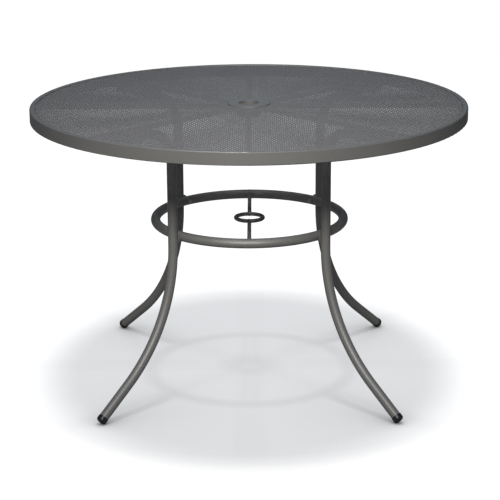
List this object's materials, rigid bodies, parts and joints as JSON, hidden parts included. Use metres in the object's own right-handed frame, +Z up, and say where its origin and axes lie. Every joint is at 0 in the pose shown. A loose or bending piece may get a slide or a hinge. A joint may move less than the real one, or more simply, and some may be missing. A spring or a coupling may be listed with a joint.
{
  "type": "patio table",
  "caption": "Round garden table with a framed mesh top, a central umbrella hole, bent tube legs that sweep outward, a bolted stretcher ring and a guide ring for the umbrella pole.",
  "frame": {"origin": "on the floor, under the middle of the umbrella hole", "axes": "+Z up along the umbrella pole, -Y to the front of the picture, +X to its right"},
  "size_m": [1.08, 1.08, 0.71],
  "materials": {
    "frame_coat": "satin powder coat, pewter grey",
    "mesh_coat": "satin powder coat on expanded metal, pewter grey",
    "cap_plastic": "black moulded plastic, slightly glossy",
    "fastener_steel": "dull zinc-plated steel"
  },
  "bodies": {
    "root": {"top_rim": "frame_coat", "mesh_ledge": "frame_coat", "brace_right": "frame_coat", "brace_rear_right": "frame_coat", "brace_rear": "frame_coat", "brace_rear_left": "frame_coat", "brace_left": "frame_coat", "brace_front_left": "frame_coat", "brace_front": "frame_coat", "brace_front_right": "frame_coat", "hub_collar": "frame_coat", "umbrella_sleeve": "frame_coat", "leg_rear_right": "frame_coat", "leg_rear_left": "frame_coat", "leg_front_left": "frame_coat", "leg_front_right": "frame_coat", "stretcher_ring": "frame_coat", "ring_spacers": "frame_coat", "guide_ring": "frame_coat", "guide_rod_front": "frame_coat", "guide_rod_rear": "frame_coat", "leg_saddles": "frame_coat", "mesh_top": "mesh_coat", "foot_cap_rear_right": "cap_plastic", "foot_cap_rear_left": "cap_plastic", "foot_cap_front_left": "cap_plastic", "foot_cap_front_right": "cap_plastic", "leg_inserts": "fastener_steel", "ring_bolts": "fastener_steel", "leg_bolts": "fastener_steel", "saddle_washers": "fastener_steel"}
  },
  "joints": []
}
